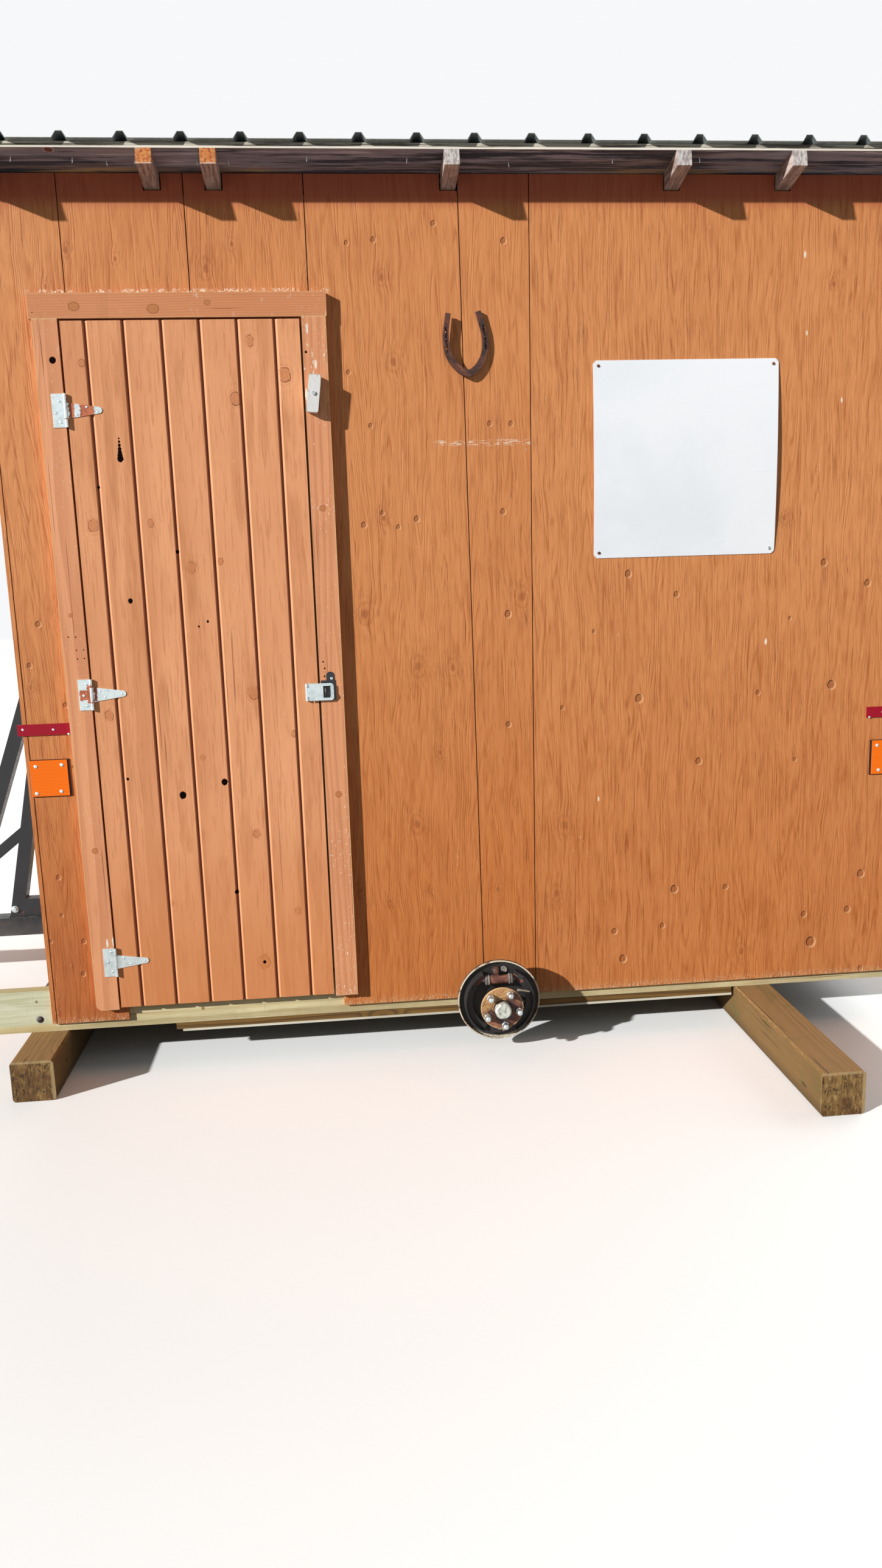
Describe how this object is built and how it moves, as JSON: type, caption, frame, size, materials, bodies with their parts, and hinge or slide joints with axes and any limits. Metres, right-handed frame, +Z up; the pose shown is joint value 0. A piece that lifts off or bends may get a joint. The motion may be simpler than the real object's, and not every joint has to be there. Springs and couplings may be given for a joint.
{
  "type": "ice fishing hut",
  "caption": "Small wooden ice fishing hut with a plank door, mono-pitch metal roof, drawbar and bare axle, standing on two timbers.",
  "frame": {"origin": "on the ground, at the middle of the whole part in plan", "axes": "+X to the right along the front wall, +Y from the front wall to the back, +Z up"},
  "size_m": [4.111, 2.68, 2.6913],
  "materials": {
    "old_timber": "weathered",
    "treated_wood": "bare treated lumber",
    "bare_wood": "bare lumber",
    "brown_board": "weathered",
    "pale_strip": "weathered",
    "black_steel": "satin",
    "axle_steel": "rusty",
    "hub_steel": "rusty",
    "stained_plywood": "stained",
    "painted_boards": "painted",
    "zinc": "zinc plated",
    "grey_paint": "worn paint",
    "grey_boards": "weathered",
    "sheet_metal": "matt",
    "orange_plastic": "reflective",
    "red_plastic": "reflective",
    "white_plastic": "satin",
    "rusty_iron": "rusty"
  },
  "bodies": {
    "root": {"left_timber": "old_timber", "right_timber": "old_timber", "rails": "treated_wood", "floor_headers": "treated_wood", "floor_joists": "bare_wood", "floor_deck": "bare_wood", "underboards": "brown_board", "edge_strips": "pale_strip", "drawbar": "black_steel", "coupler": "black_steel", "mast_legs": "black_steel", "mast_bracket": "black_steel", "axle": "axle_steel", "brakes": "axle_steel", "wall_plates": "bare_wood", "front_studs": "bare_wood", "back_studs": "bare_wood", "side_studs": "bare_wood", "corner_sheet": "stained_plywood", "over_door_sheets": "stained_plywood", "middle_sheet": "stained_plywood", "narrow_sheet": "stained_plywood", "full_sheet": "stained_plywood", "left_wall": "stained_plywood", "right_wall": "stained_plywood", "back_wall": "stained_plywood", "side_casings": "painted_boards", "header_board": "painted_boards", "hinge_leaves": "zinc", "hasp_staple": "black_steel", "button_screw": "zinc", "rafters": "bare_wood", "roof_boards": "grey_boards", "metal_roofing": "sheet_metal", "side_reflectors": "orange_plastic", "strip_reflectors": "red_plastic", "sign_plate": "white_plastic", "horseshoe": "rusty_iron"},
    "door": {"door_planks": "painted_boards", "door_battens": "painted_boards", "hinge_straps": "zinc", "hasp_leaf": "zinc"},
    "hasp": {"hasp_strap": "zinc"},
    "turn_button": {"turn_button": "grey_paint"},
    "front_hub": {"front_hub": "hub_steel"},
    "back_hub": {"back_hub": "hub_steel"}
  },
  "joints": [
    {"name": "door_hinge", "type": "hinge", "parent": "root", "child": "door", "pos_m": [-0.6275, -0.718, 1.193], "axis": [0, 0, -1], "range_deg": [0, 150]},
    {"name": "hasp_hinge", "type": "hinge", "parent": "door", "child": "hasp", "pos_m": [0.0085, -0.718, 1.175], "axis": [0, 0, -1], "range_deg": [0, 150]},
    {"name": "turn_button_pivot", "type": "hinge", "parent": "root", "child": "turn_button", "pos_m": [0.0745, -0.7295, 2.035], "axis": [0, 1, 0], "range_deg": [0, 84]},
    {"name": "front_hub_spin", "type": "hinge", "parent": "root", "child": "front_hub", "pos_m": [0.5675, -0.83, 0.173], "axis": [0, 1, 0], "continuous": true},
    {"name": "back_hub_spin", "type": "hinge", "parent": "root", "child": "back_hub", "pos_m": [0.5675, 1.28, 0.173], "axis": [0, 1, 0], "continuous": true}
  ]
}
